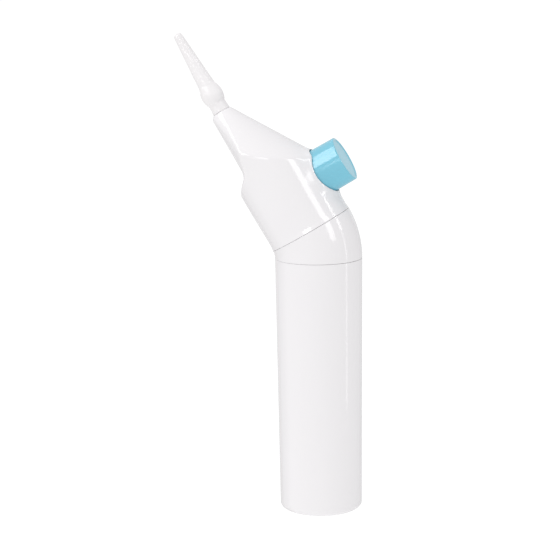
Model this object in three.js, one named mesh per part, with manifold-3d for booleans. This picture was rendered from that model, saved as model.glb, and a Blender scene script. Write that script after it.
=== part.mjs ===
// Hand-pumped ear washer: a round water tank stands on its base, and a handpiece lifts off it.
// The handpiece bends 30 degrees at an elbow, carries a thumb button on its back and a pull-off jet
// tip at its end. Inside are a piston pump, two ball valves, and the hoses that join them.
//
// Millimetres, +Z up. The origin is the centre of the tank's flat base. The jet tip leans towards -X,
// the button faces +X, and Y = 0 is the plane of symmetry.
//
// Three local frames are used:
//   tank frame  the world frame itself
//   head frame  origin at the centre of the elbow's upper joint, +Z along the head, +X towards the button
//   pump frame  origin on the head axis at the button's height, +Z out through the button

import * as THREE from 'three';
import { mergeVertices } from 'three/addons/utils/BufferGeometryUtils.js';
import Module from 'manifold-3d';

const wasm = await Module();
wasm.setup();

// ---------- Driving dimensions ----------

const GAP = 0.3; // clearance between neighbouring pieces
const WALL = 1.6; // moulded wall thickness

const TUBE_R = 19; // grip tube, outside
const BASE_R = 18.1; // the tank tapers to this at its foot
const FOOT_ROUND = 2; // round on the foot's edge
const FLOOR = 2.2; // tank floor thickness
const TANK_H = 112; // height of the joint between tank and elbow
const BEND_R = 24.7; // elbow centreline radius
const BEND = THREE.MathUtils.degToRad(30); // elbow angle, and so the head's lean

const FLOW_X = -6.8; // axis of the dip tube, valves and hoses
const JET_X = -8; // axis of the jet tip, in the head frame
const HEAD_H = 63.5; // head frame height of the joint under the jet tip
const HEAD_END_R = 4.2; // radius of the head at that joint
const RAMP_SLOPE = 0.615; // the ramp on the button's side falls back by this per millimetre down
const RAMP_FLARE = 0.717; // and its radius grows by this
const FACE_CREST = -13.6; // crest of the front face, for a face of no radius
const FACE_CREST_RISE = 0.03; // the crest draws back by this per millimetre of face radius
const FACE_END_R = 5; // radius of the front face at the jet tip
const FACE_FLARE = 0.52; // its growth per millimetre down
const FACE_SPREAD = 0.03; // and per square millimetre, so the face flattens towards the step
const STEP_Z = 27; // the front face ends in a 45 degree step, whose corner is here
const STEP_ROUND = 6; // round where the step runs into the face

const BUTTON_Z = 19.3; // button axis, head frame height
const BUTTON_R = 10.3; // button skirt, outside
const BUTTON_END = 28.8; // button end face, from the head axis
const BUTTON_SKIRT_END = 13; // lower edge of the skirt
const BUTTON_DRAFT = 0.25; // the skirt narrows by this much towards its end
const BUTTON_WALL = 1.5;
const DISH = 0.4; // depth of the flat dish in the button's end

const BORE_R = 6; // pump bore
const CYLINDER_R = 7.5; // pump cylinder, outside
const CYLINDER_FOOT = -12.2; // pump frame
const CYLINDER_FLOOR = -10.4;
const CYLINDER_TOP = 8;
const PISTON_FACE = 3.1; // leading face of the piston at rest
const PISTON_LENGTH = 3;
const ROD_R = 2.4;

const BARB_R = 1.8; // hose barbs, outside
const BARB_BORE = 1;
const HOSE_R = 3; // hoses, outside
const HOSE_BORE = 2.1;
const VALVE_R = 3; // valve housings, outside
const SPIGOT_R = 2.1; // pump spigots that the valve housings slide over
const BALL_R = 1.5;

// Facets round a turn, by size of piece.
const FINE = 32;
const MEDIUM = 20;
const COARSE = 14;

// ---------- Colours ----------

const paint = (color, roughness, metalness = 0) =>
  new THREE.MeshStandardMaterial({ color, roughness, metalness });
const shellWhite = paint(0xf1f0f1, 0.22);
const buttonBlue = paint(0x7dc5db, 0.28);
const tipFrost = new THREE.MeshStandardMaterial({
  color: 0xf3f1f1,
  roughness: 0.3,
  transparent: true,
  opacity: 0.75,
});
const innerPlastic = paint(0xd9dcdb, 0.5);
const sealRubber = paint(0x3a3c3e, 0.8);
const hoseSilicone = paint(0xe3e6e2, 0.45);
const steel = paint(0xb9bcc0, 0.25, 1);

// ---------- Solids ----------

// Vertices shared, and slivers dropped, so that the surface is one closed skin.
function closedSkin(geometry) {
  const bare = geometry.clone();
  bare.deleteAttribute('normal');
  bare.deleteAttribute('uv');
  const merged = mergeVertices(bare, 1e-4);
  const kept = [];
  const index = merged.index.array;
  for (let i = 0; i < index.length; i += 3) {
    const [a, b, c] = [index[i], index[i + 1], index[i + 2]];
    if (a !== b && b !== c && c !== a) {
      kept.push(a, b, c);
    }
  }
  merged.setIndex(kept);
  return merged;
}

function toSolid(geometry) {
  const skin = closedSkin(geometry);
  return new wasm.Manifold(
    new wasm.Mesh({
      numProp: 3,
      vertProperties: Float32Array.from(skin.attributes.position.array),
      triVerts: Uint32Array.from(skin.index.array),
    })
  );
}

function toGeometry(solid) {
  const mesh = solid.getMesh();
  const geometry = new THREE.BufferGeometry();
  geometry.setAttribute('position', new THREE.BufferAttribute(mesh.vertProperties, 3));
  geometry.setIndex(new THREE.BufferAttribute(mesh.triVerts, 1));
  return geometry;
}

// A turned solid about Z from a [radius, height] outline. An outline that is off the axis at its
// ends is a ring.
function turned(outline, sides = MEDIUM) {
  const points = outline.map(([r, z]) => new THREE.Vector2(r, z));
  const onAxis = outline[0][0] === 0;
  if (THREE.ShapeUtils.area(points) < 0) {
    points.reverse();
  }
  if (!onAxis) {
    points.push(points[0].clone());
  }
  return new THREE.LatheGeometry(points, sides).rotateX(Math.PI / 2);
}

const disc = (radius, low, high, sides = MEDIUM) =>
  turned([[0, low], [radius, low], [radius, high], [0, high]], sides);

const tube = (inner, outer, low, high, sides = COARSE) =>
  turned([[inner, low], [outer, low], [outer, high], [inner, high]], sides);

function slab(low, high) {
  const size = high.map((value, i) => value - low[i]);
  const middle = high.map((value, i) => (value + low[i]) / 2);
  return new THREE.BoxGeometry(...size).translate(...middle);
}

// Points on an arc in the [radius, height] plane, from one angle to another in degrees.
function arc(centreR, centreZ, radius, from, to, steps) {
  const points = [];
  for (let i = 0; i <= steps; i += 1) {
    const angle = THREE.MathUtils.degToRad(from + ((to - from) * i) / steps);
    points.push([centreR + radius * Math.cos(angle), centreZ + radius * Math.sin(angle)]);
  }
  return points;
}

const circleShape = (radius, sides) => {
  const shape = new THREE.Shape();
  for (let i = 0; i < sides; i += 1) {
    const angle = (2 * Math.PI * i) / sides;
    const move = i === 0 ? 'moveTo' : 'lineTo';
    shape[move](radius * Math.cos(angle), radius * Math.sin(angle));
  }
  shape.closePath();
  return shape;
};

// A hollow round section swept along a curve.
function sweptTube(curve, inner, outer, sides, steps) {
  const section = circleShape(outer, sides);
  section.holes.push(circleShape(inner, sides));
  return new THREE.ExtrudeGeometry(section, { extrudePath: curve, steps, curveSegments: 1 });
}

// Arc about the elbow's bend centre, at a distance from it, between two angles.
class BendCurve extends THREE.Curve {
  constructor(radius, from, to) {
    super();
    Object.assign(this, { radius, from, to });
  }

  getPoint(t, target = new THREE.Vector3()) {
    const angle = this.from + (this.to - this.from) * t;
    return target.set(
      this.radius * Math.cos(angle) - BEND_R,
      0,
      TANK_H + this.radius * Math.sin(angle)
    );
  }
}

// A coil spring about Z, with closed end turns.
class CoilCurve extends THREE.Curve {
  constructor(radius, low, high, turns, wire) {
    super();
    Object.assign(this, { radius, low, high, turns, wire });
  }

  getPoint(t, target = new THREE.Vector3()) {
    const turn = t * this.turns;
    const closing = 1;
    const pitch = (this.high - this.low - 2 * this.wire) / (this.turns - 2 * closing);
    const early = Math.min(turn, closing);
    const late = Math.max(turn - (this.turns - closing), 0);
    const middle = turn - early - late;
    const height = this.low + early * this.wire + middle * pitch + late * this.wire;
    const angle = 2 * Math.PI * turn;
    return target.set(this.radius * Math.cos(angle), this.radius * Math.sin(angle), height);
  }
}

function coil(radius, low, high, turns, wire) {
  const curve = new CoilCurve(radius, low + wire / 2, high - wire / 2, turns, wire * 1.15);
  const section = circleShape(wire / 2, 5);
  return new THREE.ExtrudeGeometry(section, { extrudePath: curve, steps: turns * 10 });
}

// ---------- Frames ----------

const headFrame = new THREE.Group();
headFrame.position.set(BEND_R * (Math.cos(BEND) - 1), 0, TANK_H + BEND_R * Math.sin(BEND));
headFrame.rotation.y = -BEND;
headFrame.updateMatrix();

const pumpFrame = new THREE.Group();
pumpFrame.position.z = BUTTON_Z;
pumpFrame.rotation.y = Math.PI / 2;
pumpFrame.updateMatrix();

const inPump = (geometry) => geometry.applyMatrix4(pumpFrame.matrix);
const onFlow = (geometry) => geometry.translate(FLOW_X, 0, 0);
const onJet = (geometry) => geometry.translate(JET_X, 0, 0);

const assembly = new THREE.Group();
assembly.add(headFrame);
headFrame.add(pumpFrame);

function place(parent, name, geometry, material) {
  const mesh = new THREE.Mesh(closedSkin(geometry), material);
  mesh.name = name;
  parent.add(mesh);
}

// ---------- Water tank ----------

function waterTank() {
  const top = TANK_H - GAP / 2;
  return turned(
    [
      [0, 0],
      ...arc(BASE_R - FOOT_ROUND, FOOT_ROUND, FOOT_ROUND, -90, 0, 4),
      [TUBE_R, top],
      [TUBE_R - WALL, top],
      ...arc(BASE_R - WALL - FOOT_ROUND, FLOOR + FOOT_ROUND, FOOT_ROUND, 0, -90, 3),
      [0, FLOOR],
    ],
    FINE
  );
}

place(assembly, 'water_tank', waterTank(), shellWhite);

// ---------- Tank bung, with its seal, air valve, dip tube and filter ----------

const LIP_R = TUBE_R - WALL - 0.4; // spigots on the elbow, outside
const LIP_BORE = LIP_R - 1.2;
const BUNG_R = LIP_R;
const BUNG_LOW = 104.6;
const BUNG_FLOOR = 105.2;
const BUNG_DECK = 108;
const BUNG_TOP = TANK_H - 0.8;
const BUNG_RIM = 1.4; // thickness of the rim that plugs into the elbow
const GROOVE_R = 15.2;
const GROOVE_LOW = 105.4;
const GROOVE_HIGH = 107.6;
const SEAL_SECTION = 0.78;
const VENT_X = 8;
const VENT_R = 1.2;
const DIP_R = 2.4;
const DIP_BORE = 1.5;
const DIP_TOP = BUNG_FLOOR - 0.6;
const FILTER_LOW = FLOOR + 1;
const FILTER_R = 4.2;
const FILTER_WALL = 1.2;
const FILTER_SEAT = 6; // height of the seat inside the filter that the dip tube stands on
const FILTER_H = 10;
const DIP_LOW = FILTER_LOW + FILTER_SEAT + 0.2;

function tankBung() {
  const rimR = LIP_BORE - GAP;
  const body = toSolid(
    turned(
      [
        [0, BUNG_FLOOR],
        [BUNG_R - WALL, BUNG_LOW],
        [BUNG_R, BUNG_LOW],
        [BUNG_R, GROOVE_LOW],
        [GROOVE_R, GROOVE_LOW],
        [GROOVE_R, GROOVE_HIGH],
        [BUNG_R, GROOVE_HIGH],
        [BUNG_R, BUNG_DECK],
        [rimR, BUNG_DECK],
        [rimR, BUNG_TOP],
        [rimR - BUNG_RIM, BUNG_TOP],
        [rimR - BUNG_RIM, BUNG_DECK],
        [0, BUNG_DECK],
      ],
      FINE
    )
  );
  const barb = disc(BARB_R, BUNG_FLOOR + 0.5, BUNG_DECK + 4.4, COARSE).translate(FLOW_X, 0, 0);
  const socket = disc(DIP_R + GAP + 1.2, BUNG_FLOOR - 6, BUNG_FLOOR + 0.5, COARSE);
  const socketBore = disc(DIP_R + GAP, BUNG_FLOOR - 7, BUNG_FLOOR, COARSE);
  const flowBore = disc(BARB_BORE, BUNG_LOW - 2, BUNG_TOP + 2, COARSE);
  const ventBore = disc(VENT_R, BUNG_LOW - 2, BUNG_TOP + 2, COARSE).translate(VENT_X, 0, 0);
  return toGeometry(
    body
      .add(toSolid(barb))
      .add(toSolid(onFlow(socket)))
      .subtract(toSolid(onFlow(socketBore)))
      .subtract(toSolid(onFlow(flowBore)))
      .subtract(toSolid(ventBore))
  );
}

function tankSealRing() {
  const middle = GROOVE_R + GAP + SEAL_SECTION;
  return turned(arc(middle, (GROOVE_LOW + GROOVE_HIGH) / 2, SEAL_SECTION, 0, 300, 5), FINE);
}

// A rubber umbrella under the bung lets air in as the water leaves.
function airValve() {
  const stem = VENT_R - GAP;
  const cap = BUNG_FLOOR - 0.5;
  return turned(
    [
      [0, cap - 1],
      [1.6, cap - 0.9],
      [3, cap],
      [stem, cap + 0.1],
      [stem, BUNG_DECK + GAP],
      [1.6, BUNG_DECK + GAP],
      [1.2, BUNG_DECK + 1.6],
      [0, BUNG_DECK + 2],
    ],
    COARSE
  );
}

function intakeFilter() {
  const grip = DIP_R + GAP;
  let body = toSolid(
    turned(
      [
        [0, FILTER_LOW],
        [FILTER_R - 0.6, FILTER_LOW],
        [FILTER_R, FILTER_LOW + 0.6],
        [FILTER_R, FILTER_LOW + FILTER_H],
        [grip, FILTER_LOW + FILTER_H],
        [grip, FILTER_LOW + FILTER_SEAT],
        [grip - 0.7, FILTER_LOW + FILTER_SEAT - 0.4],
        [FILTER_R - FILTER_WALL, FILTER_LOW + FILTER_SEAT - 1],
        [FILTER_R - FILTER_WALL, FILTER_LOW + FILTER_WALL],
        [0, FILTER_LOW + FILTER_WALL],
      ],
      COARSE
    )
  );
  const slots = 6;
  for (let i = 0; i < slots; i += 1) {
    const slot = slab([1, -0.6, FILTER_LOW + 1.6], [FILTER_R + 1, 0.6, FILTER_LOW + 4.6]);
    body = body.subtract(toSolid(slot.rotateZ((2 * Math.PI * (i + 0.5)) / slots)));
  }
  return onFlow(toGeometry(body));
}

place(assembly, 'tank_bung', tankBung(), innerPlastic);
place(assembly, 'tank_seal_ring', tankSealRing(), sealRubber);
place(assembly, 'air_valve', airValve().translate(VENT_X, 0, 0), sealRubber);
place(assembly, 'dip_tube', onFlow(tube(DIP_BORE, DIP_R, DIP_LOW, DIP_TOP)), hoseSilicone);
place(assembly, 'intake_filter', intakeFilter(), innerPlastic);

// ---------- Elbow ----------

function elbowShell() {
  const trim = GAP / 2 / BEND_R;
  const bend = new BendCurve(BEND_R, trim, BEND - trim);
  const shell = sweptTube(bend, TUBE_R - WALL, TUBE_R, FINE, 5);
  const root = TUBE_R - WALL / 2;
  const upperLip = turned(
    [
      [LIP_BORE, 4.5],
      [LIP_BORE, -2.4],
      [TUBE_R - WALL, -3.6],
      [root, -3.4],
      [root, -0.8],
      [LIP_R, -0.6],
      [LIP_R, 4.1],
      [LIP_R - 0.4, 4.5],
    ],
    FINE
  ).applyMatrix4(headFrame.matrix);
  const lowerLip = turned(
    [
      [LIP_BORE, BUNG_DECK + GAP],
      [LIP_R, BUNG_DECK + GAP],
      [LIP_R, TANK_H + GAP],
      [root, TANK_H + 2 * GAP],
      [root, TANK_H + 1.4],
      [LIP_BORE, TANK_H + 1.4],
    ],
    FINE
  );
  return toGeometry(toSolid(shell).add(toSolid(upperLip)).add(toSolid(lowerLip)));
}

place(assembly, 'elbow_shell', elbowShell(), shellWhite);

// ---------- Head shells ----------

// Circles of [height, centre x, radius], joined into one closed skin.
function stacked(circles, sides) {
  const last = circles.length - 1;
  const geometry = new THREE.CylinderGeometry(1, 1, 1, sides, last).rotateX(Math.PI / 2);
  const position = geometry.attributes.position;
  for (let i = 0; i < position.count; i += 1) {
    const [height, centre, radius] = circles[Math.round((position.getZ(i) + 0.5) * last)];
    position.setXYZ(i, centre + radius * position.getX(i), radius * position.getY(i), height);
  }
  return geometry;
}

// The ramp is an oblique cone: its crest falls back to the tube on the button's side.
function rampCircle(z, inset) {
  const depth = HEAD_H - z;
  const radius = HEAD_END_R + RAMP_FLARE * depth;
  const crest = JET_X + HEAD_END_R + RAMP_SLOPE * depth;
  return [z, crest - radius, radius - inset * Math.hypot(1, RAMP_FLARE)];
}

// The front face is round at the jet tip, nearly flat at the step, and its crest is almost straight.
function faceCircle(z, inset, step = 0) {
  const depth = HEAD_H - z;
  const radius = FACE_END_R + FACE_FLARE * depth + FACE_SPREAD * depth * depth;
  const crest = FACE_CREST + FACE_CREST_RISE * radius;
  return [z, crest + radius, radius - inset + step];
}

// How far the step has carried the front face outwards at a height: an arc, then 45 degrees. It
// meets the tube at the step's corner.
function stepOut(z) {
  const [, centre, radius] = faceCircle(STEP_Z, 0);
  const depthAtCorner = TUBE_R + centre - radius;
  const arcHeight = STEP_ROUND * Math.SQRT1_2;
  const arcDepth = STEP_ROUND - arcHeight;
  const foot = STEP_Z + depthAtCorner - arcDepth + arcHeight;
  const down = foot - z;
  if (down < arcHeight) {
    return STEP_ROUND - Math.sqrt(STEP_ROUND ** 2 - Math.max(down, 0) ** 2);
  }
  return arcDepth + down - arcHeight;
}

// The outside of the head, or its cavity when inset by the wall. Every section across it is the
// overlap of three circles: the tube, the ramp and the front face.
function headBody(inset, low, high) {
  const lowest = -5;
  const stepHeights = [-4, 3, 5, 6.5, 8].map((above) => STEP_Z + above);
  const faceHeights = [39, 43, 47, 51, 55, 59, 62, HEAD_H];
  const face = [
    ...stepHeights.map((z) => faceCircle(z, inset, stepOut(z))),
    ...faceHeights.map((z) => faceCircle(z, inset)),
  ];
  const [, footCentre, footR] = face[0];
  face.unshift([lowest, footCentre, footR]);
  const ramp = [rampCircle(lowest, inset), rampCircle(high, inset)];
  return toSolid(disc(TUBE_R - inset, low, high, FINE))
    .intersect(toSolid(stacked(ramp, FINE + 8)))
    .intersect(toSolid(stacked(face, 2 * FINE)));
}

const SLEEVE_BORE = BUTTON_R + GAP;
const SLEEVE_R = 12.2;
const SLEEVE_LOW = 9.2;
const NOZZLE_BLOCK_Z = 56.6;
const NOZZLE_BORE = 2.7;
const FLANGE_R = 9.2;
const FLANGE_HALF = 1;
const RIB_REACH = 10;

// Dowels that line the two head shells up, as [x, z, radius] in the head frame.
const DOWELS = [[1, 7.2, 2.2], [3, 42, 2.3], [-2.4, 50.5, 1.8]];
const DOWEL_PIN_R = 1;
const DOWEL_LENGTH = 3;

const alongY = (geometry, x, z) => geometry.rotateX(-Math.PI / 2).translate(x, 0, z);

function headBlank() {
  const outside = headBody(0, GAP / 2, HEAD_H);
  const cavity = headBody(WALL, -3, NOZZLE_BLOCK_Z);
  const sleeve = inPump(disc(SLEEVE_R, SLEEVE_LOW, TUBE_R + 2, FINE));
  const sleeveBore = inPump(disc(SLEEVE_BORE, SLEEVE_LOW - 1, TUBE_R + 3, FINE));
  let blank = outside.subtract(cavity).add(toSolid(sleeve).intersect(outside));
  for (const side of [-1, 1]) {
    const near = side * (FLANGE_HALF + GAP);
    const far = side * (FLANGE_HALF + GAP + WALL);
    const [low, high] = [Math.min(near, far), Math.max(near, far)];
    const rib = slab([-RIB_REACH, -TUBE_R, low], [RIB_REACH, TUBE_R, high]);
    const opening = disc(CYLINDER_R + GAP, low - 1, high + 1, MEDIUM);
    const saddle = toSolid(inPump(rib)).subtract(toSolid(inPump(opening)));
    blank = blank.add(saddle.intersect(outside));
  }
  for (const [x, z, radius] of DOWELS) {
    const boss = alongY(disc(radius, -TUBE_R, TUBE_R, COARSE), x, z);
    blank = blank.add(toSolid(boss).intersect(outside));
  }
  return blank
    .subtract(toSolid(sleeveBore))
    .subtract(toSolid(onJet(disc(NOZZLE_BORE, NOZZLE_BLOCK_Z - 1, HEAD_H + 1, COARSE))));
}

const REACH = 90;
const leftHalf = toSolid(slab([-REACH, -REACH, -REACH], [REACH, -GAP / 2, REACH]));
const rightHalf = toSolid(slab([-REACH, GAP / 2, -REACH], [REACH, REACH, REACH]));
const blank = headBlank();

let leftShell = blank.intersect(leftHalf);
let rightShell = blank.intersect(rightHalf);
for (const [x, z] of DOWELS) {
  const pin = alongY(disc(DOWEL_PIN_R, -1, DOWEL_LENGTH, 12), x, z);
  const socket = alongY(disc(DOWEL_PIN_R + GAP, -1, DOWEL_LENGTH + GAP, 12), x, z);
  leftShell = leftShell.add(toSolid(pin));
  rightShell = rightShell.subtract(toSolid(socket));
}
place(headFrame, 'head_shell_left', toGeometry(leftShell), shellWhite);
place(headFrame, 'head_shell_right', toGeometry(rightShell), shellWhite);

// ---------- Pump ----------

const CAP_TOP = CYLINDER_TOP + 2.6;
const SPIGOT_LOW = 7.6; // end of the lower spigot, head frame height
const SPIGOT_HIGH = 31.4; // end of the upper spigot

function pumpCylinder() {
  const barrel = inPump(
    turned(
      [
        [0, CYLINDER_FOOT],
        [CYLINDER_R - 0.8, CYLINDER_FOOT],
        [CYLINDER_R, CYLINDER_FOOT + 0.8],
        [CYLINDER_R, -FLANGE_HALF],
        [FLANGE_R, -FLANGE_HALF],
        [FLANGE_R, FLANGE_HALF],
        [CYLINDER_R, FLANGE_HALF],
        [CYLINDER_R, CYLINDER_TOP],
        [BORE_R, CYLINDER_TOP],
        [BORE_R, CYLINDER_FLOOR],
        [0, CYLINDER_FLOOR],
      ],
      FINE
    )
  );
  const spigots = onFlow(disc(SPIGOT_R, SPIGOT_LOW, SPIGOT_HIGH, COARSE));
  const bore = inPump(disc(BORE_R, CYLINDER_FLOOR, CYLINDER_TOP + 1, FINE));
  const port = onFlow(disc(BARB_BORE, SPIGOT_LOW - 1, SPIGOT_HIGH + 1, COARSE));
  const notch = slab([FLOW_X - 3, -0.5, SPIGOT_LOW - 1], [FLOW_X + 3, 0.5, SPIGOT_LOW + 0.8]);
  return toGeometry(
    toSolid(barrel)
      .add(toSolid(spigots))
      .subtract(toSolid(bore))
      .subtract(toSolid(port))
      .subtract(toSolid(notch))
  );
}

const cylinderCap = () =>
  turned(
    [
      [ROD_R + GAP, CYLINDER_TOP - 1.6],
      [BORE_R - GAP, CYLINDER_TOP - 1.6],
      [BORE_R - GAP, CYLINDER_TOP + GAP],
      [CYLINDER_R, CYLINDER_TOP + GAP],
      [CYLINDER_R, CAP_TOP - 0.4],
      [CYLINDER_R - 0.4, CAP_TOP],
      [ROD_R + GAP, CAP_TOP],
    ],
    FINE
  );

const PISTON_R = BORE_R - GAP;
const PISTON_LAND = 0.6;
const PISTON_GROOVE = 1.5;
const ROD_TOP = BUTTON_END - 4;

function pumpPiston() {
  const back = PISTON_FACE + PISTON_LENGTH;
  return turned(
    [
      [0, PISTON_FACE],
      [PISTON_R, PISTON_FACE],
      [PISTON_R, PISTON_FACE + PISTON_LAND],
      [PISTON_R - PISTON_GROOVE, PISTON_FACE + PISTON_LAND],
      [PISTON_R - PISTON_GROOVE, back - PISTON_LAND],
      [PISTON_R, back - PISTON_LAND],
      [PISTON_R, back],
      [ROD_R, back],
      [ROD_R, ROD_TOP],
      [0, ROD_TOP],
    ],
    MEDIUM
  );
}

function pistonSeal() {
  const low = PISTON_FACE + PISTON_LAND + GAP;
  const high = PISTON_FACE + PISTON_LENGTH - PISTON_LAND - GAP;
  return tube(PISTON_R - PISTON_GROOVE + GAP, PISTON_R + 0.1, low, high, MEDIUM);
}

// The button is a cup with a dished end and a socket for the piston rod.
function pumpButton() {
  const endR = BUTTON_R - BUTTON_DRAFT;
  const edge = 0.8;
  const socket = ROD_R + GAP;
  const socketWall = 1.3;
  const socketDepth = 5;
  return turned(
    [
      [0, BUTTON_END - DISH],
      [endR - 2.2, BUTTON_END - DISH],
      [endR - edge - 0.7, BUTTON_END],
      ...arc(endR - edge, BUTTON_END - edge, edge, 90, 0, 3),
      [BUTTON_R, BUTTON_SKIRT_END],
      [BUTTON_R - BUTTON_WALL, BUTTON_SKIRT_END],
      [BUTTON_R - BUTTON_WALL - 0.2, BUTTON_ROOF],
      [socket + socketWall, BUTTON_ROOF],
      [socket + socketWall, BUTTON_ROOF - socketDepth],
      [socket, BUTTON_ROOF - socketDepth],
      [socket, BUTTON_ROOF - 1],
      [0, BUTTON_ROOF - 1],
    ],
    FINE
  );
}

const SPRING_R = 5.4;
const SPRING_TURNS = 7;
const SPRING_WIRE = 0.9;
const BUTTON_ROOF = BUTTON_END - 2;

const returnSpring = () =>
  coil(SPRING_R, CAP_TOP + GAP, BUTTON_ROOF - 1.3, SPRING_TURNS, SPRING_WIRE);

place(headFrame, 'pump_cylinder', pumpCylinder(), innerPlastic);
place(pumpFrame, 'cylinder_cap', cylinderCap(), innerPlastic);
place(pumpFrame, 'pump_piston', pumpPiston(), innerPlastic);
place(pumpFrame, 'piston_seal', pistonSeal(), sealRubber);
place(pumpFrame, 'return_spring', returnSpring(), steel);
place(pumpFrame, 'pump_button', pumpButton(), buttonBlue);

// ---------- Valves ----------

const INLET_SEAT_Z = 3.4;
const OUTLET_SHOULDER = 37;
const OUTLET_BARB_HIGH = OUTLET_SHOULDER + 5.6;

const inletHousing = () =>
  turned(
    [
      [BARB_BORE, -2.2],
      [BARB_R, -2.2],
      [BARB_R, 2],
      [VALVE_R, 2],
      [VALVE_R, 11],
      [SPIGOT_R + GAP, 11],
      [SPIGOT_R + GAP, SPIGOT_LOW - GAP],
      [BALL_R + 0.4, SPIGOT_LOW - GAP],
      [BALL_R + 0.4, INLET_SEAT_Z + 1],
      [BARB_BORE, INLET_SEAT_Z],
    ],
    COARSE
  );

const outletHousing = () =>
  turned(
    [
      [SPIGOT_R + GAP, 27.6],
      [VALVE_R, 27.6],
      [VALVE_R, OUTLET_SHOULDER + 1.6],
      [BARB_R, OUTLET_SHOULDER + 2.6],
      [BARB_R, OUTLET_BARB_HIGH],
      [BARB_BORE, OUTLET_BARB_HIGH],
      [BARB_BORE, OUTLET_SHOULDER],
      [BALL_R + 0.4, OUTLET_SHOULDER],
      [BALL_R + 0.4, SPIGOT_HIGH + GAP],
      [SPIGOT_R + GAP, SPIGOT_HIGH + GAP],
    ],
    COARSE
  );

const ball = (height) => onFlow(new THREE.SphereGeometry(BALL_R, 12, 8).translate(0, 0, height));

const INLET_BALL_Z = INLET_SEAT_Z + BALL_R;
const OUTLET_BALL_Z = SPIGOT_HIGH + BALL_R * 0.8 + 0.2;
const VALVE_WIRE = 0.35;
const VALVE_COIL_R = 1.25;

place(headFrame, 'inlet_valve_housing', onFlow(inletHousing()), innerPlastic);
place(headFrame, 'inlet_valve_ball', ball(INLET_BALL_Z), steel);
place(headFrame, 'outlet_valve_housing', onFlow(outletHousing()), innerPlastic);
place(headFrame, 'outlet_valve_ball', ball(OUTLET_BALL_Z), steel);
const outletSpring = onFlow(
  coil(VALVE_COIL_R, OUTLET_BALL_Z + BALL_R, OUTLET_SHOULDER - 0.1, 4, VALVE_WIRE)
);
place(headFrame, 'outlet_valve_spring', outletSpring, steel);

// ---------- Hoses ----------

// The suction hose runs straight up from the bung, turns through the elbow's angle, and then follows
// the head. Its two straight lines meet where the elbow's tangents meet.
function suctionHose() {
  const turnRadius = 8;
  const meet = (BEND_R + FLOW_X) * Math.tan(BEND / 2);
  const run = turnRadius * Math.tan(BEND / 2);
  const corner = new THREE.Vector3(FLOW_X, 0, TANK_H + meet);
  const lean = new THREE.Vector3(-Math.sin(BEND), 0, Math.cos(BEND));
  const start = new THREE.Vector3(FLOW_X, 0, BUNG_DECK + GAP);
  const bendStart = corner.clone().addScaledVector(new THREE.Vector3(0, 0, -1), run);
  const bendEnd = corner.clone().addScaledVector(lean, run);
  const end = corner.clone().addScaledVector(lean, meet + 2 - GAP);
  const path = new THREE.CurvePath();
  path.add(new THREE.LineCurve3(start, bendStart));
  path.add(new THREE.QuadraticBezierCurve3(bendStart, corner, bendEnd));
  path.add(new THREE.LineCurve3(bendEnd, end));
  return sweptTube(path, HOSE_BORE, HOSE_R, 12, 9);
}

const HOSE_LOW = OUTLET_SHOULDER + 2.9;
const HOSE_HIGH = 53.4;
const NOZZLE_BARB_LOW = 50.4;

// The discharge hose bends over in an S from the valves' axis to the jet's.
function dischargeHose() {
  const at = (x, z) => new THREE.Vector3(x, 0, z);
  const bendLow = OUTLET_BARB_HIGH + GAP;
  const bendHigh = NOZZLE_BARB_LOW - GAP;
  const middle = (bendLow + bendHigh) / 2;
  const path = new THREE.CurvePath();
  path.add(new THREE.LineCurve3(at(FLOW_X, HOSE_LOW), at(FLOW_X, bendLow)));
  path.add(
    new THREE.CubicBezierCurve3(
      at(FLOW_X, bendLow),
      at(FLOW_X, middle),
      at(JET_X, middle),
      at(JET_X, bendHigh)
    )
  );
  path.add(new THREE.LineCurve3(at(JET_X, bendHigh), at(JET_X, HOSE_HIGH)));
  return sweptTube(path, HOSE_BORE, HOSE_R, 12, 8);
}

place(assembly, 'suction_hose', suctionHose(), hoseSilicone);
place(headFrame, 'discharge_hose', dischargeHose(), hoseSilicone);

// ---------- Nozzle seat and jet tip ----------

const SEAT_R = NOZZLE_BORE - GAP;
const SEAT_BORE = 1.8;
const SEAT_FLANGE_R = 3.05;
const STEM_R = SEAT_BORE - GAP;
const STEM_LOW = 57;
const NECK_Z = HEAD_H + GAP;
const SOCKET_R = 2.9; // the seal ring sits in a socket under the neck
const SOCKET_DEPTH = 1.8;
const TIP_END = 102.2;
const TIP_END_R = 1.75;
const TIP_ROUND = 1.5;

const nozzleSeat = () =>
  turned(
    [
      [BARB_BORE, NOZZLE_BARB_LOW],
      [BARB_R, NOZZLE_BARB_LOW],
      [BARB_R, HOSE_HIGH + GAP],
      [SEAT_FLANGE_R, HOSE_HIGH + GAP],
      [SEAT_FLANGE_R, NOZZLE_BLOCK_Z - GAP],
      [SEAT_R, NOZZLE_BLOCK_Z - GAP],
      [SEAT_R, HEAD_H],
      [SEAT_BORE, HEAD_H],
      [SEAT_BORE, 56],
      [BARB_BORE, 55],
    ],
    COARSE
  );

// Neck, bulb and long cone. The stem below the neck pushes into the nozzle seat.
function jetTip() {
  const boreLow = 1;
  const boreHigh = 0.5;
  return turned(
    [
      [boreLow, STEM_LOW],
      [STEM_R - 0.3, STEM_LOW],
      [STEM_R, STEM_LOW + 0.5],
      [STEM_R, NECK_Z + SOCKET_DEPTH],
      [SOCKET_R, NECK_Z + SOCKET_DEPTH],
      [SOCKET_R, NECK_Z],
      [4.05, NECK_Z],
      [3.78, 67.4],
      [4.35, 68.6],
      [4.8, 70.4],
      [4.9, 71.6],
      [4.72, 73.2],
      [4.35, 74.7],
      [3.85, 76],
      [3.66, 77.6],
      [1.95, TIP_END - 2.2],
      ...arc(TIP_END_R - 1.35, TIP_END - TIP_ROUND, TIP_ROUND, 10, 80, 4),
      [boreHigh, TIP_END],
      [boreHigh, TIP_END - 3],
    ],
    MEDIUM
  );
}

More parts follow.
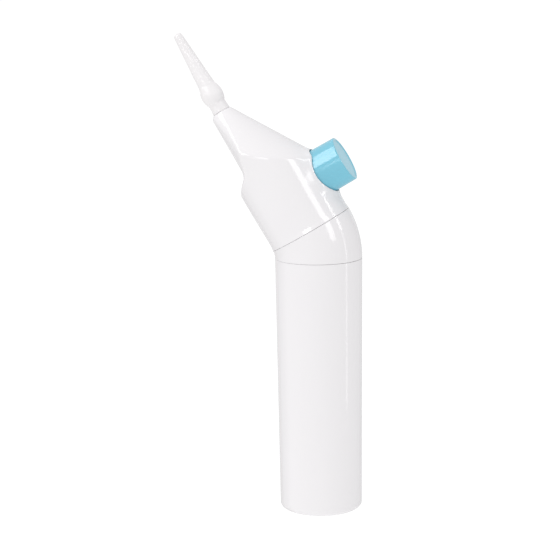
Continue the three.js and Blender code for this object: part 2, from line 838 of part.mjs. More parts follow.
const tipSealRing = () => tube(STEM_R + GAP, SOCKET_R - GAP, NECK_Z, NECK_Z + 1.4, COARSE);

place(headFrame, 'nozzle_seat', onJet(nozzleSeat()), innerPlastic);
place(headFrame, 'jet_tip', onJet(jetTip()), tipFrost);
place(headFrame, 'tip_seal_ring', onJet(tipSealRing()), sealRubber);

export default assembly;
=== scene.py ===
"""Hand-pumped ear washer: fine surfaces, materials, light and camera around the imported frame.

Pieces are modelled in millimetres and turned into metres when their mesh is made; the studio is in
metres. Three frames are used: the tank's own (the world), the head's (origin at the elbow's upper
joint, +Z along the head, +X towards the button) and the pump's (+Z out through the button).
"""

import math

import bmesh
import bpy
import numpy as np
from mathutils import Matrix, Quaternion, Vector


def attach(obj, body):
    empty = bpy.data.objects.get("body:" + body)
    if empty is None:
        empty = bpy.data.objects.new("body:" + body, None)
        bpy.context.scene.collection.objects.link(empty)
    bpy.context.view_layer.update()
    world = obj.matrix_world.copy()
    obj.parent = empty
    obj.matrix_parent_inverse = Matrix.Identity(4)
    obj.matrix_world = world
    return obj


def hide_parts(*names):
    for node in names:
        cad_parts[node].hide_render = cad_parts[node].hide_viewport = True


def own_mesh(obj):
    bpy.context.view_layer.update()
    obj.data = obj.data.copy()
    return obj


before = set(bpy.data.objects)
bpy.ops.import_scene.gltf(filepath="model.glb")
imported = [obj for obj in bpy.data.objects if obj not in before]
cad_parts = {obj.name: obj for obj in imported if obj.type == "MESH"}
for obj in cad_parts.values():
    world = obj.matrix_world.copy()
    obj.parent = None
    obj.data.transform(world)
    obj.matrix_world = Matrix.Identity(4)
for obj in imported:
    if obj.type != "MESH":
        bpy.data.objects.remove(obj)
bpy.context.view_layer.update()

# ---------- Driving dimensions, millimetres ----------

MM = 0.001
TUBE_R = 19.0
WALL = 1.6
BASE_R = 18.1
FOOT_ROUND = 2.0
FLOOR = 2.2
TANK_H = 112.0
BEND_R = 24.7
BEND = math.radians(30)
BEND_LENGTH = BEND_R * BEND
SEAM = 0.05  # half the width of the line between two shells
EDGE = 0.1  # round on the shells' edges at a seam
SEAM_ROUND = ((0.16, 0.035), (0.05, 0.06), (0.0, 0.15))  # depth and distance from the seam's plane
INNER_DRAW = -0.3  # the same round on the inside of the wall
LIP_DOWN = 3.6  # the elbow's lips reach into the tank and the head
LIP_UP = 4.5

FLOW_X = -6.8
JET_X = -8.0
HEAD_H = 63.5
HEAD_END_R = 4.2
RAMP_SLOPE = 0.615
RAMP_FLARE = 0.717
FACE_CREST = -13.6
FACE_CREST_RISE = 0.03
FACE_END_R = 5.0
FACE_FLARE = 0.52
FACE_SPREAD = 0.03
STEP_Z = 27.0
STEP_ROUND = 6.0
CREASE = 0.7  # how widely the head's skins blend where they meet
SPINE_LOW = 20.0  # where the line inside the head starts to lean towards the jet
SPINE_HIGH = 54.0
NOZZLE_BLOCK_Z = 56.6
NOZZLE_BORE = 2.7
NECK_Z = HEAD_H + 0.06  # the tip's shoulder, a hairline above the head
TIP_END = 102.1
TIP_ROUND = 1.32
TIP_BORE = 0.45

BUTTON_Z = 19.3
BUTTON_R = 10.3
BUTTON_DRAFT = 0.25
BUTTON_END = 28.8
BUTTON_SKIRT_END = 13.0
BUTTON_WALL = 1.5
DISH = 0.3
HOLE_R = 10.75
HOLE_LOW = 6.0  # pump frame
HOLE_HIGH = 26.0
RIM_R = 14.5  # the housing rises in a low cone round the button
RIM_HEIGHT = 0.92
RIM_EASE = 0.58  # the part of the cone's width over which it leaves the tube
WAIST = 0.27  # how far the head draws in just above its lower joint
WAIST_LOW = 2.3
WAIST_HIGH = 24.0

SPRING_R = 5.4
SPRING_WIRE = 0.9
SPRING_TURNS = 7
SPRING_LOW = 10.9  # pump frame
SPRING_HIGH = 25.5
OUTLET_SPRING_R = 1.25
OUTLET_SPRING_WIRE = 0.35
OUTLET_SPRING_TURNS = 4
OUTLET_SPRING_LOW = 34.3  # head frame
OUTLET_SPRING_HIGH = 36.9

# ---------- The studio, metres ----------

FLOOR_HALF = 3
FLOOR_BELOW = 0.0002  # under the base, so that the two faces don't meet
FLOOR_TONE = 0.25
FLOOR_GLOW = 0.84
BACKDROP_R = 12
BACKDROP_DIP = 8  # degrees that the dome reaches below the floor's plane
WHITE = 1.05  # what the camera sees behind the object
LIGHTS_AIM = Vector((0, 0, 0.13))
LIGHTS_AWAY = 1.2  # from LIGHTS_AIM to every box and lamp
STUDIO_BRIGHT_SIDE = Vector((-0.6, -0.7, 0.45)).normalized()
STUDIO_DARKEST = 0.62
STUDIO_BRIGHTEST = 1.0
FLAG_SIDE = Vector((-0.80, 0.42, -0.42)).normalized()  # towards the dark flag's middle
FLAG_INNER = math.radians(17)  # from its middle to where it starts to fade
FLAG_OUTER = math.radians(32)
FLAG_LEVEL = 0.5  # of the studio's own level

# ---------- Frames ----------

HEAD = Matrix.Translation(
    (BEND_R * (math.cos(BEND) - 1), 0, TANK_H + BEND_R * math.sin(BEND))
) @ Matrix.Rotation(-BEND, 4, "Y")
PUMP = HEAD @ Matrix.Translation((0, 0, BUTTON_Z)) @ Matrix.Rotation(math.pi / 2, 4, "Y")
WORLD = Matrix.Identity(4)

# ---------- Materials ----------

CLOUDS_PER_M = 38
CLOUD_STRETCH = (1, 1, 0.35)
GLOSS_PATCHES_PER_M = 210
SKIN_STRENGTH = 0.06
SKIN_DEPTH = 0.00001  # metres


def new_material(name, **values):
    """A Principled material with the given values on the shader's own sockets."""
    material = bpy.data.materials.new(name)
    material.use_nodes = True
    shader = material.node_tree.nodes["Principled BSDF"]
    for socket, value in values.items():
        shader.inputs[socket.replace("_", " ")].default_value = value
    return material, material.node_tree, shader


def noise(tree, scale, detail=3.0, stretch=(1, 1, 1)):
    """Noise in object space, with its features 1/scale metres across."""
    place = tree.nodes.new("ShaderNodeTexCoord")
    mapping = tree.nodes.new("ShaderNodeMapping")
    mapping.inputs["Scale"].default_value = stretch
    texture = tree.nodes.new("ShaderNodeTexNoise")
    texture.inputs["Scale"].default_value = scale
    texture.inputs["Detail"].default_value = detail
    tree.links.new(place.outputs["Object"], mapping.inputs["Vector"])
    tree.links.new(mapping.outputs["Vector"], texture.inputs["Vector"])
    return texture.outputs["Fac"]


def ramp(tree, factor, low, high, start=0.3, end=0.7):
    """Turns a factor into a colour or a grey between two values."""
    node = tree.nodes.new("ShaderNodeValToRGB")
    node.color_ramp.elements[0].position = start
    node.color_ramp.elements[1].position = end
    for element, value in zip(node.color_ramp.elements, (low, high)):
        element.color = value if isinstance(value, tuple) else (value, value, value, 1)
    tree.links.new(factor, node.inputs["Fac"])
    return node.outputs["Color"]


def bump(tree, shader, height, strength, distance):
    """Lifts the shading by a height, with `distance` in metres."""
    node = tree.nodes.new("ShaderNodeBump")
    node.inputs["Strength"].default_value = strength
    node.inputs["Distance"].default_value = distance
    tree.links.new(height, node.inputs["Height"])
    tree.links.new(node.outputs["Normal"], shader.inputs["Normal"])


def moulded_plastic(name, light, dark, smooth, rough, grain, **values):
    """Moulded plastic: faint flow clouds in the colour, uneven gloss and a fine skin texture."""
    material, tree, shader = new_material(name, **values)
    clouds = ramp(tree, noise(tree, CLOUDS_PER_M, 4, CLOUD_STRETCH), dark, light)
    tree.links.new(clouds, shader.inputs["Base Color"])
    gloss = ramp(tree, noise(tree, GLOSS_PATCHES_PER_M), smooth, rough)
    tree.links.new(gloss, shader.inputs["Roughness"])
    bump(tree, shader, noise(tree, grain, 2), SKIN_STRENGTH, SKIN_DEPTH)
    return material


white_shell = moulded_plastic(
    "white_gloss_shell",
    light=(0.852, 0.84, 0.85, 1),
    dark=(0.84, 0.828, 0.838, 1),
    smooth=0.09,
    rough=0.13,
    grain=1500,
    IOR=1.5,
)
blue_button = moulded_plastic(
    "sky_blue_button",
    light=(0.205, 0.56, 0.70, 1),
    dark=(0.19, 0.535, 0.675, 1),
    smooth=0.1,
    rough=0.15,
    grain=2600,
    IOR=1.5,
)
inner_plastic = moulded_plastic(
    "natural_acetal",
    light=(0.80, 0.81, 0.79, 1),
    dark=(0.74, 0.75, 0.73, 1),
    smooth=0.38,
    rough=0.52,
    grain=1800,
)
frosted_tip = moulded_plastic(
    "frosted_tip",
    light=(0.86, 0.845, 0.85, 1),
    dark=(0.82, 0.805, 0.81, 1),
    smooth=0.34,
    rough=0.44,
    grain=2200,
    IOR=1.46,
)
seal_rubber = moulded_plastic(
    "seal_rubber",
    light=(0.05, 0.052, 0.055, 1),
    dark=(0.03, 0.031, 0.033, 1),
    smooth=0.55,
    rough=0.75,
    grain=3000,
)
milky_silicone = moulded_plastic(
    "milky_silicone",
    light=(0.80, 0.82, 0.80, 1),
    dark=(0.74, 0.77, 0.74, 1),
    smooth=0.3,
    rough=0.42,
    grain=1200,
    Transmission_Weight=0.25,
    IOR=1.41,
)
steel_wire = moulded_plastic(
    "drawn_steel",
    light=(0.62, 0.63, 0.65, 1),
    dark=(0.52, 0.53, 0.55, 1),
    smooth=0.18,
    rough=0.34,
    grain=4000,
    Metallic=1.0,
)

# ---------- Mesh helpers ----------

ROUND_SHARE = 0.46  # the most of a straight that one round may take
GUARD_SHARE = 0.12  # the short straight after a round, as a share of the round
GUARD_MOST = 0.04


def make_piece(name, points, faces, material, body, nodes, slot, matrix=WORLD):
    """A smooth mesh piece that rides on a body and stands for CAD nodes."""
    mesh = bpy.data.meshes.new(name)
    placed = [matrix @ Vector(p) * MM for p in points]
    mesh.from_pydata(placed, [], faces)
    mesh.validate()
    mesh.materials.append(material)
    piece = bpy.data.objects.new(name, mesh)
    bpy.context.scene.collection.objects.link(piece)
    tidy_normals(piece)
    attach(piece, body)
    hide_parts(*nodes)
    return piece


def tidy_normals(piece):
    """Merges doubled points, turns every face outwards and shades smoothly."""
    surface = bmesh.new()
    surface.from_mesh(piece.data)
    bmesh.ops.remove_doubles(surface, verts=surface.verts, dist=2e-7)
    bmesh.ops.recalc_face_normals(surface, faces=surface.faces)
    surface.to_mesh(piece.data)
    surface.free()
    for polygon in piece.data.polygons:
        polygon.use_smooth = True


def rounded(corners, longest=0.0, closed=True, steps=6):
    """A polyline through [r, z, round] corners, with each corner turned into an arc.

    A short straight follows each arc, so that shading stays flat on the flats. Straights longer
    than `longest` are divided.
    """
    count = len(corners)
    path = []
    for i, (r, z, radius) in enumerate(corners):
        here = np.array([r, z], float)
        if radius <= 0 or (not closed and i in (0, count - 1)):
            path.append(here)
            continue
        back = np.array(corners[i - 1][:2], float) - here
        ahead = np.array(corners[(i + 1) % count][:2], float) - here
        back_length, ahead_length = np.linalg.norm(back), np.linalg.norm(ahead)
        back, ahead = back / back_length, ahead / ahead_length
        half = math.acos(max(-1, min(1, float(back @ ahead)))) / 2
        run = min(radius / math.tan(half), ROUND_SHARE * min(back_length, ahead_length))
        radius = run * math.tan(half)
        middle = (back + ahead) / np.linalg.norm(back + ahead)
        centre = here + middle * math.hypot(run, radius)
        start, end = here + back * run - centre, here + ahead * run - centre
        sweep = math.atan2(start[0] * end[1] - start[1] * end[0], float(start @ end))
        guard = min(GUARD_SHARE * run, GUARD_MOST)
        path.append(here + back * (run + guard))
        for k in range(steps + 1):
            angle = sweep * k / steps
            turn = np.array(
                [[math.cos(angle), -math.sin(angle)], [math.sin(angle), math.cos(angle)]]
            )
            path.append(centre + turn @ start)
        path.append(here + ahead * (run + guard))
    if longest > 0:
        path = divided(path, longest, closed)
    return [tuple(p) for p in path]


def divided(path, longest, closed):
    """The same polyline with its long straights divided."""
    fine = []
    last = len(path) if closed else len(path) - 1
    for i in range(last):
        here, ahead = path[i], path[(i + 1) % len(path)]
        parts = max(1, math.ceil(np.linalg.norm(ahead - here) / longest))
        fine.extend(here + (ahead - here) * k / parts for k in range(parts))
    if not closed:
        fine.append(path[-1])
    return fine


def revolved(profile, sides, closed=True):
    """Points and faces of an [r, z] profile turned about Z. Points on the axis become poles."""
    points, rings = [], []
    for r, z in profile:
        if r < 1e-6:
            points.append((0.0, 0.0, z))
            rings.append([len(points) - 1] * sides)
            continue
        start = len(points)
        for k in range(sides):
            angle = 2 * math.pi * k / sides
            points.append((r * math.cos(angle), r * math.sin(angle), z))
        rings.append(list(range(start, start + sides)))
    faces = []
    pairs = list(zip(rings, rings[1:]))
    if closed:
        pairs.append((rings[-1], rings[0]))
    for low, high in pairs:
        for k in range(sides):
            face = [low[k], low[(k + 1) % sides], high[(k + 1) % sides], high[k]]
            face = list(dict.fromkeys(face))
            if len(face) > 2:
                faces.append(face)
    return points, faces


def shifted(points, x):
    """The same points, moved along X."""
    return [(px + x, py, pz) for px, py, pz in points]


def bent(points):
    """Carries points from a straight tube, with z along its axis, through the elbow."""
    carried = []
    for x, y, z in points:
        along = min(max(z, 0.0), BEND_LENGTH)
        angle = along / BEND_R
        over = z - along
        reach = BEND_R + x
        carried.append(
            (
                reach * math.cos(angle) - BEND_R - over * math.sin(angle),
                y,
                TANK_H + reach * math.sin(angle) + over * math.cos(angle),
            )
        )
    return carried


def boolean_cut(piece, points, faces, matrix):
    """Cuts a closed mesh out of a piece, and leaves no modifier or cutter behind."""
    mesh = bpy.data.meshes.new("cutter")
    mesh.from_pydata([matrix @ Vector(p) * MM for p in points], [], faces)
    cutter = bpy.data.objects.new("cutter", mesh)
    bpy.context.scene.collection.objects.link(cutter)
    tidy_normals(cutter)
    change = piece.modifiers.new("cut", "BOOLEAN")
    change.operation = "DIFFERENCE"
    change.solver = "EXACT"
    change.object = cutter
    bpy.context.view_layer.update()
    graph = bpy.context.evaluated_depsgraph_get()
    result = bpy.data.meshes.new_from_object(piece.evaluated_get(graph))
    piece.modifiers.clear()
    piece.data = result
    bpy.data.objects.remove(cutter)


def weighted_normals(piece):
    """Lets the large faces decide the shading where a cut left small ones."""
    change = piece.modifiers.new("shading", "WEIGHTED_NORMAL")
    change.mode = "FACE_AREA"
    change.keep_sharp = True


# ---------- Water tank ----------

tank_top = TANK_H - SEAM
tank_profile = rounded(
    [
        (0, 0, 0),
        (BASE_R, 0, FOOT_ROUND),
        (TUBE_R, tank_top, EDGE),
        (TUBE_R - WALL, tank_top, 0.4),
        (BASE_R - WALL, FLOOR, 2.5),
        (0, FLOOR, 0),
    ],
    closed=False,
)
make_piece(
    "water_tank_shell",
    *revolved(tank_profile, 160, closed=False),
    white_shell,
    "tank",
    ["water_tank"],
    "white_shell",
)

# ---------- Elbow ----------

LIP_R = TUBE_R - WALL - 0.4
LIP_BORE = LIP_R - 1.2
elbow_profile = rounded(
    [
        (TUBE_R, SEAM, EDGE),
        (TUBE_R, BEND_LENGTH - SEAM, EDGE),
        (LIP_R, BEND_LENGTH - SEAM, 0.1),
        (LIP_R, BEND_LENGTH + LIP_UP, 0.3),
        (LIP_BORE, BEND_LENGTH + LIP_UP, 0.3),
        (LIP_BORE, -LIP_DOWN, 0.3),
        (LIP_R, -LIP_DOWN, 0.3),
        (LIP_R, SEAM, 0.1),
    ],
    longest=1.1,
)
elbow_points, elbow_faces = revolved(elbow_profile, 160)
make_piece(
    "elbow_sleeve",
    bent(elbow_points),
    elbow_faces,
    white_shell,
    "handpiece",
    ["elbow_shell"],
    "white_shell",
)

# ---------- Head shells ----------


def ramp_circle(z, inset):
    """Centre X and radius of the sloping back's section at a height."""
    depth = HEAD_H - z
    radius = HEAD_END_R + RAMP_FLARE * depth
    crest = JET_X + HEAD_END_R + RAMP_SLOPE * depth
    return crest - radius, radius - inset * math.hypot(1, RAMP_FLARE)


def face_radius(z):
    """Radius of the front face's section above the step."""
    depth = HEAD_H - z
    return FACE_END_R + FACE_FLARE * depth + FACE_SPREAD * depth**2


def face_crest(z):
    """X of the front face above the step."""
    return FACE_CREST + FACE_CREST_RISE * face_radius(z)


def step_out(z):
    """How far the step has carried the front face outwards at a height."""
    arc_height = STEP_ROUND * math.sqrt(0.5)
    arc_depth = STEP_ROUND - arc_height
    fall = TUBE_R + face_crest(STEP_Z)
    down = max(STEP_Z + fall - arc_depth + arc_height - z, 0)
    if down < arc_height:
        return STEP_ROUND - math.sqrt(STEP_ROUND**2 - down**2)
    return arc_depth + down - arc_height


def face_circle(z, inset):
    """Centre X and radius of the front face's section at a height."""
    radius = face_radius(z)
    return face_crest(z) + radius, radius - inset + step_out(z)


def smooth_min(a, b, blend):
    """The smaller of two lengths, with a round of about `blend` where they cross."""
    h = np.clip(0.5 + 0.5 * (b - a) / blend, 0, 1)
    return b + (a - b) * h - blend * h * (1 - h)


def spine(z):
    """X of the line that the head's sections are measured from."""
    t = min(max((z - SPINE_LOW) / (SPINE_HIGH - SPINE_LOW), 0), 1)
    return JET_X * t * t * (3 - 2 * t)


def reach(z, angles, inset=0.0):
    """Distance from the spine to the head's surface at a height, for an array of angles."""
    middle = spine(z)
    result = None
    for centre, radius in ((0.0, TUBE_R - inset), ramp_circle(z, inset), face_circle(z, inset)):
        offset = centre - middle
        root = radius**2 - (offset * np.sin(angles)) ** 2
        length = offset * np.cos(angles) + np.sqrt(np.maximum(root, 1e-9))
        result = length if result is None else smooth_min(result, length, CREASE)
    return result


def with_rim(z, angles, length):
    """Raises the housing in a low cone round the button, and draws it in above the joint."""
    x = spine(z) + length * np.cos(angles)
    y = length * np.sin(angles)
    out = np.hypot(y, z - BUTTON_Z)
    t = np.clip((RIM_R - out) / (RIM_R - HOLE_R), 0, 1)
    cone = np.where(t < RIM_EASE, t * t / (2 * RIM_EASE), t - RIM_EASE / 2)
    below = max(1 - z / WAIST_LOW, 0) ** 1.5
    above = min(max((z - WAIST_LOW) / (WAIST_HIGH - WAIST_LOW), 0), 1)
    waist = WAIST * (1 - below) * (1 - above * above * (3 - 2 * above))
    return length + np.where(x > 0, RIM_HEIGHT * cone, 0) - waist


def head_rows():
    """Heights of the head's sections, each with how far it draws in for the rounds at the ends."""
    plain = np.concatenate(
        [np.arange(0.4, 2.4, 0.25), np.arange(2.6, 36, 0.36), np.arange(36.3, HEAD_H - 0.7, 0.5)]
    )
    return (
        [(SEAM, 0.12), (SEAM + 0.03, 0.05), (SEAM + 0.12, 0.0)]
        + [(z, 0.0) for z in plain]
        + [(HEAD_H - 0.35, 0.0), (HEAD_H - 0.15, 0.06), (HEAD_H - 0.04, 0.18), (HEAD_H, 0.36)]
    )


def half_section(centre, ends, lengths, angles, draw):
    """One curve of a half shell's section, from its +X end at the seam round to its -X end.

    `ends` holds the lengths towards +X and -X, and `draw` scales the rounds at the seam.
    """
    front = [(centre + ends[0] - depth * draw, y) for depth, y in SEAM_ROUND]
    around = [(centre + r * math.cos(a), r * math.sin(a)) for r, a in zip(lengths, angles)]
    back = [(centre - ends[1] + depth * draw, y) for depth, y in reversed(SEAM_ROUND)]
    return front + around + back


def head_half(side):
    """One head shell: closed sections, stacked along the head and capped at both ends."""
    angles = np.radians(np.linspace(0, 180, 161))[1:-1]
    ends = np.array([1e-4, math.pi - 1e-4])
    bore = np.full_like(angles, NOZZLE_BORE)
    points, sections = [], []
    for z, shrink in head_rows():
        outer = half_section(
            spine(z),
            with_rim(z, ends, reach(z, ends)) - shrink,
            with_rim(z, angles, reach(z, angles)) - shrink,
            angles,
            1,
        )
        if z < NOZZLE_BLOCK_Z:
            inner_ends, inside = reach(z, ends, WALL), reach(z, angles, WALL)
            inner = half_section(spine(z), inner_ends, inside, angles, INNER_DRAW)
        else:
            inner = half_section(JET_X, bore[:2], bore, angles, INNER_DRAW)
        start = len(points)
        points += [(x, side * y, z) for x, y in outer + inner[::-1]]
        sections.append(range(start, start + 2 * len(outer)))
    faces = []
    count = len(sections[0])
    for low, high in zip(sections, sections[1:]):
        for k in range(count):
            j = (k + 1) % count
            faces.append([low[k], low[j], high[j], high[k]])
    for section in (sections[0], sections[-1]):
        for k in range(count // 2 - 1):
            far = count - 1 - k
            faces.append([section[k], section[k + 1], section[far - 1], section[far]])
    return points, faces


hole_profile = [(0, HOLE_LOW), (HOLE_R, HOLE_LOW), (HOLE_R, HOLE_HIGH), (0, HOLE_HIGH)]
hole_cutter = revolved(hole_profile, 160, closed=False)
for side, label in ((-1, "left"), (1, "right")):
    shell = make_piece(
        f"head_shell_{label}_skin",
        *head_half(side),
        white_shell,
        "handpiece",
        [f"head_shell_{label}"],
        "white_shell",
        HEAD,
    )
    boolean_cut(shell, *hole_cutter, PUMP)
    weighted_normals(shell)

# ---------- Button ----------

end_r = BUTTON_R - BUTTON_DRAFT
roof = BUTTON_END - 2
button_profile = rounded(
    [
        (0, BUTTON_END - DISH, 0),
        (end_r - 1.7, BUTTON_END - DISH, 1.2),
        (end_r - 0.9, BUTTON_END, 0.3),
        (end_r, BUTTON_END, 0.55),
        (BUTTON_R, BUTTON_SKIRT_END, 0.3),
        (BUTTON_R - BUTTON_WALL, BUTTON_SKIRT_END, 0.3),
        (BUTTON_R - BUTTON_WALL - 0.2, roof, 0.6),
        (0, roof, 0),
    ],
    closed=False,
)
make_piece(
    "thumb_button",
    *revolved(button_profile, 144, closed=False),
    blue_button,
    "button",
    ["pump_button"],
    "blue_button",
    PUMP,
)

# ---------- Jet tip ----------


def smooth_through(points, steps=6):
    """A smooth curve through [r, z] points."""
    fine = []
    for i in range(len(points) - 1):
        before = np.array(points[max(i - 1, 0)], float)
        start, end = np.array(points[i], float), np.array(points[i + 1], float)
        after = np.array(points[min(i + 2, len(points) - 1)], float)
        for k in range(steps):
            t = k / steps
            curve = (
                2 * start
                + (end - before) * t
                + (2 * before - 5 * start + 4 * end - after) * t**2
                + (3 * start - before - 3 * end + after) * t**3
            ) / 2
            fine.append(tuple(curve))
    fine.append(tuple(points[-1]))
    return fine


neck = smooth_through([(3.98, NECK_Z + 0.1), (3.88, 65.2), (3.8, 66.6), (3.78, 67.7)], 4)
bulb = smooth_through(
    [(3.95, 67.9), (4.35, 68.7), (4.72, 70.1), (4.88, 71.6), (4.74, 73.1), (4.4, 74.5), (3.95, 75.8)]
)
cone = smooth_through([(3.75, 76.6), (3.62, 77.8), (2.8, 89.0), (1.98, TIP_END - 2.2)], 14)
tip_round = [
    (0.55 + TIP_ROUND * math.cos(a), TIP_END - TIP_ROUND + TIP_ROUND * math.sin(a))
    for a in np.radians(np.linspace(8, 90, 8))
]
tip_profile = (
    [(1.0, 57.0), (1.25, 57.0), (1.45, 57.3), (1.5, 58.0), (1.5, NECK_Z + 0.05), (3.88, NECK_Z)]
    + neck
    + bulb
    + cone
    + tip_round
    + [(TIP_BORE, TIP_END - 0.1), (TIP_BORE, TIP_END - 3), (1.0, TIP_END - 14)]
)
tip_points, tip_faces = revolved(tip_profile, 56)
make_piece(
    "jet_tip_frosted",
    shifted(tip_points, JET_X),
    tip_faces,
    frosted_tip,
    "tip",
    ["jet_tip"],
    "frosted_tip",
    HEAD,
)

# ---------- Springs ----------------------------------------------


CLOSED_TURN_RISE = 1.12  # of an end turn, in wire thicknesses


def coiled(radius, low, high, turns, wire, sides=10, steps=36):
    """Points and faces of a round wire coiled about Z, with closed end turns."""
    low, high = low + wire / 2, high - wire / 2
    closed_rise = CLOSED_TURN_RISE * wire
    pitch = (high - low - 2 * closed_rise) / (turns - 2)
    points, faces = [], []
    last = turns * steps
    for i in range(last + 1):
        turn = i / steps
        early, late = min(turn, 1), max(turn - turns + 1, 0)
        height = low + (early + late) * closed_rise + (turn - early - late) * pitch
        angle = 2 * math.pi * turn
        for k in range(sides):
            around = 2 * math.pi * k / sides
            r = radius + wire / 2 * math.cos(around)
            z = height + wire / 2 * math.sin(around)
            points.append((r * math.cos(angle), r * math.sin(angle), z))
    for i in range(last):
        for k in range(sides):
            j = (k + 1) % sides
            faces.append([i * sides + k, i * sides + j, (i + 1) * sides + j, (i + 1) * sides + k])
    faces.append(list(range(sides)))
    faces.append(list(range(last * sides, (last + 1) * sides)))
    return points, faces


def make_spring(name, mesh, node, matrix):
    """A coil of steel wire that rides on the handpiece, stands for a CAD node and has a mesh of its
    own.
    """
    spring = make_piece(name, *mesh, steel_wire, "handpiece", [node], "steel", matrix)
    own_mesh(spring)


make_spring(
    "return_coil",
    coiled(SPRING_R, SPRING_LOW, SPRING_HIGH, SPRING_TURNS, SPRING_WIRE),
    "return_spring",
    PUMP,
)
outlet_coil, outlet_faces = coiled(
    OUTLET_SPRING_R,
    OUTLET_SPRING_LOW,
    OUTLET_SPRING_HIGH,
    OUTLET_SPRING_TURNS,
    OUTLET_SPRING_WIRE,
)
make_spring(
    "outlet_coil",
    (shifted(outlet_coil, FLOW_X), outlet_faces),
    "outlet_valve_spring",
    HEAD,
)

# ---------- CAD nodes that stay as they are, with better materials ----------

kept_nodes = {
    "tank_bung": inner_plastic,
    "tank_seal_ring": seal_rubber,
    "air_valve": seal_rubber,
    "dip_tube": milky_silicone,
    "intake_filter": inner_plastic,
    "suction_hose": milky_silicone,
    "inlet_valve_housing": inner_plastic,
    "inlet_valve_ball": steel_wire,
    "pump_cylinder": inner_plastic,
    "cylinder_cap": inner_plastic,
    "pump_piston": inner_plastic,
    "piston_seal": seal_rubber,
    "outlet_valve_housing": inner_plastic,
    "outlet_valve_ball": steel_wire,
    "discharge_hose": milky_silicone,
    "nozzle_seat": inner_plastic,
    "tip_seal_ring": seal_rubber,
}
for node, material in kept_nodes.items():
    for material_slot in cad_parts[node].material_slots:
        material_slot.material = material

# ---------- Floor, light and camera ----------


def rectangle(half_width, half_height):
    """Points and the one face of a flat rectangle."""
    corners = ((-1, -1), (1, -1), (1, 1), (-1, 1))
    return [(x * half_width, y * half_height, 0) for x, y in corners], [range(4)]


def studio_piece(name, points, faces):
    """A mesh that belongs to the studio, in metres."""
    mesh = bpy.data.meshes.new(name)
    mesh.from_pydata(points, [], faces)
    piece = bpy.data.objects.new(name, mesh)
    bpy.context.scene.collection.objects.link(piece)
    return piece


def make_floor():
    """A wide pale floor, which the gloss doesn't mirror, so that edges stay dark against it."""
    floor = studio_piece("floor", *rectangle(FLOOR_HALF, FLOOR_HALF))
    material, _, shader = new_material("pale_floor", Roughness=1.0, Specular_IOR_Level=0.0)
    shader.inputs["Base Color"].default_value = (FLOOR_TONE, FLOOR_TONE, FLOOR_TONE, 1)
    shader.inputs["Emission Color"].default_value = (1, 1, 1, 1)
    shader.inputs["Emission Strength"].default_value = FLOOR_GLOW
    floor.data.materials.append(material)
    floor.location.z = -FLOOR_BELOW
    floor.visible_glossy = False


def make_backdrop():
    """A white dome that only the camera sees, so that the floor has no end behind the object."""
    rise = np.radians(np.linspace(-BACKDROP_DIP, 90, 13))
    profile = [(BACKDROP_R * math.cos(a), BACKDROP_R * math.sin(a)) for a in rise]
    backdrop = studio_piece("backdrop", *revolved(profile, 48, closed=False))
    backdrop.data.materials.append(glowing("white_backdrop", WHITE))
    backdrop.visible_diffuse = False
    backdrop.visible_glossy = False
    backdrop.visible_transmission = False
    backdrop.visible_shadow = False


def span_sizes(span):
    """Width and height in metres of a box that fills a span of degrees at the boxes' distance."""
    return [2 * LIGHTS_AWAY * math.tan(math.radians(angle) / 2) for angle in span]


def aimed(azimuth, elevation, roll=0):
    """The placement of a box that faces the object. Angles are in degrees, as the object sees
    them, with azimuth from -Y towards +X.
    """
    turn, lift = math.radians(azimuth), math.radians(elevation)
    towards = Vector(
        (math.sin(turn) * math.cos(lift), -math.cos(turn) * math.cos(lift), math.sin(lift))
    )
    facing = towards.to_track_quat("Z", "Y") @ Quaternion((0, 0, 1), math.radians(roll))
    return Matrix.Translation(LIGHTS_AIM + towards * LIGHTS_AWAY) @ facing.to_matrix().to_4x4()


def glowing(name, radiance):
    """A material that only shines, and that no ray is aimed at."""
    material, _, shader = new_material(name, Roughness=1.0, Specular_IOR_Level=0.0)
    shader.inputs["Base Color"].default_value = (0, 0, 0, 1)
    shader.inputs["Emission Color"].default_value = (1, 1, 1, 1)
    shader.inputs["Emission Strength"].default_value = radiance
    material.cycles.emission_sampling = "NONE"
    return material


def make_softbox(name, azimuth, elevation, span, radiance, roll=0):
    """A soft box that is only mirrored in the gloss."""
    width, height = span_sizes(span)
    softbox = studio_piece(name, *rectangle(width / 2, height / 2))
    softbox.data.materials.append(glowing(name, radiance))
    softbox.matrix_world = aimed(azimuth, elevation, roll)
    softbox.visible_camera = False
    softbox.visible_diffuse = False
    softbox.visible_transmission = False
    softbox.visible_shadow = False


def make_lamp(name, azimuth, elevation, span, radiance):
    """A wide lamp that lights the object and isn't mirrored in its gloss."""
    light = bpy.data.lights.new(name, "AREA")
    light.shape = "RECTANGLE"
    light.size, light.size_y = span_sizes(span)
    light.energy = radiance * math.pi * light.size * light.size_y
    lamp = bpy.data.objects.new(name, light)
    bpy.context.scene.collection.objects.link(lamp)
    lamp.matrix_world = aimed(azimuth, elevation)
    lamp.visible_glossy = False


def make_camera():
    """The view: a long lens a little above the object's middle, turned towards the button side."""
    yaw, pitch, roll = 0.2039, 0.1836, -0.015
    distance, lens = 0.730, 107.05
    target = Vector((-0.01732, 0, 0.10163))
    back = Vector(
        (math.sin(yaw) * math.cos(pitch), -math.cos(yaw) * math.cos(pitch), math.sin(pitch))
    )
    level = Vector((math.cos(yaw), math.sin(yaw), 0))
    upright = back.cross(level)
    right = level * math.cos(roll) + upright * math.sin(roll)
    up = upright * math.cos(roll) - level * math.sin(roll)
    data = bpy.data.cameras.new("camera")
    data.lens = lens
    data.sensor_width = 36
    data.clip_start, data.clip_end = 0.01, 60
    camera = bpy.data.objects.new("camera", data)
    camera.matrix_world = Matrix.Translation(target + back * distance) @ Matrix(
        (right, up, back)
    ).transposed().to_4x4()
    bpy.context.scene.collection.objects.link(camera)
    bpy.context.scene.camera = camera


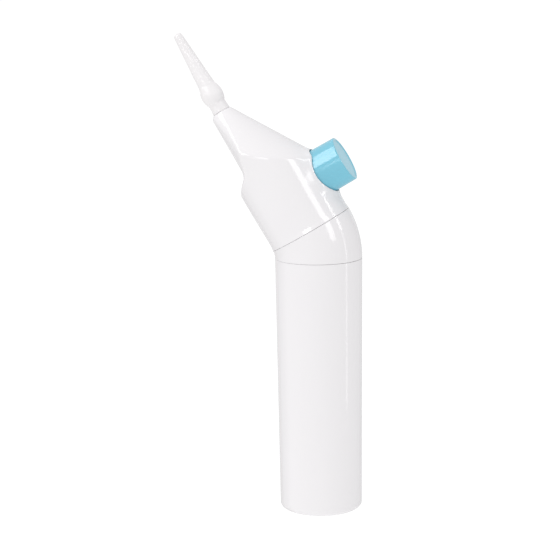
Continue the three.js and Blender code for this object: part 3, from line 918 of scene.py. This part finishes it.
def facing_level(tree, place, direction, cosines, levels):
    """A level for each ray, from how nearly it points in a direction."""
    towards = tree.nodes.new("ShaderNodeVectorMath")
    towards.operation = "DOT_PRODUCT"
    towards.inputs[1].default_value = direction
    tree.links.new(place.outputs["Generated"], towards.inputs[0])
    level = tree.nodes.new("ShaderNodeMapRange")
    level.inputs["From Min"].default_value, level.inputs["From Max"].default_value = cosines
    level.inputs["To Min"].default_value, level.inputs["To Max"].default_value = levels
    tree.links.new(towards.outputs["Value"], level.inputs["Value"])
    return level.outputs["Result"]


def make_world():
    """White for the camera. For other rays, a studio that is brightest at the upper left front and
    has a darker flag low on the left, which the shells' left edges mirror.
    """
    world = bpy.data.worlds.new("studio")
    world.use_nodes = True
    tree = world.node_tree
    seen = tree.nodes["Background"]
    seen.inputs["Color"].default_value = (1, 1, 1, 1)
    seen.inputs["Strength"].default_value = WHITE
    around = tree.nodes.new("ShaderNodeBackground")
    around.inputs["Color"].default_value = (1, 0.992, 1, 1)
    place = tree.nodes.new("ShaderNodeTexCoord")
    studio = facing_level(
        tree, place, STUDIO_BRIGHT_SIDE, (-1, 1), (STUDIO_DARKEST, STUDIO_BRIGHTEST)
    )
    flag_cosines = (math.cos(FLAG_OUTER), math.cos(FLAG_INNER))
    flag = facing_level(tree, place, FLAG_SIDE, flag_cosines, (1, FLAG_LEVEL))
    shaded = tree.nodes.new("ShaderNodeMath")
    shaded.operation = "MULTIPLY"
    tree.links.new(studio, shaded.inputs[0])
    tree.links.new(flag, shaded.inputs[1])
    tree.links.new(shaded.outputs["Value"], around.inputs["Strength"])
    path = tree.nodes.new("ShaderNodeLightPath")
    mix = tree.nodes.new("ShaderNodeMixShader")
    tree.links.new(path.outputs["Is Camera Ray"], mix.inputs["Fac"])
    tree.links.new(around.outputs["Background"], mix.inputs[1])
    tree.links.new(seen.outputs["Background"], mix.inputs[2])
    tree.links.new(mix.outputs["Shader"], tree.nodes["World Output"].inputs["Surface"])
    bpy.context.scene.world = world


make_floor()
make_backdrop()
make_camera()
make_world()
make_softbox("side_strip", 88, -2, (3.4, 34), 3.5)
make_softbox("side_strip_high", 90, 31, (5, 30), 7.0)
make_softbox("button_side_box", 56.5, 27, (15, 38), 4.9)
make_softbox("crease_box", -70, 43, (22, 24), 5.9)
make_softbox("button_box", -42, 30, (32, 18), 7.6, roll=-35)
make_softbox("seam_box", -3, 12, (24, 12), 5.4, roll=30)
make_softbox("back_panel", 166, 6, (20, 14), 0.88)
make_lamp("overhead_lamp", -50, 72, (24, 24), 3.8)
bpy.context.scene.view_settings.view_transform = "Standard"
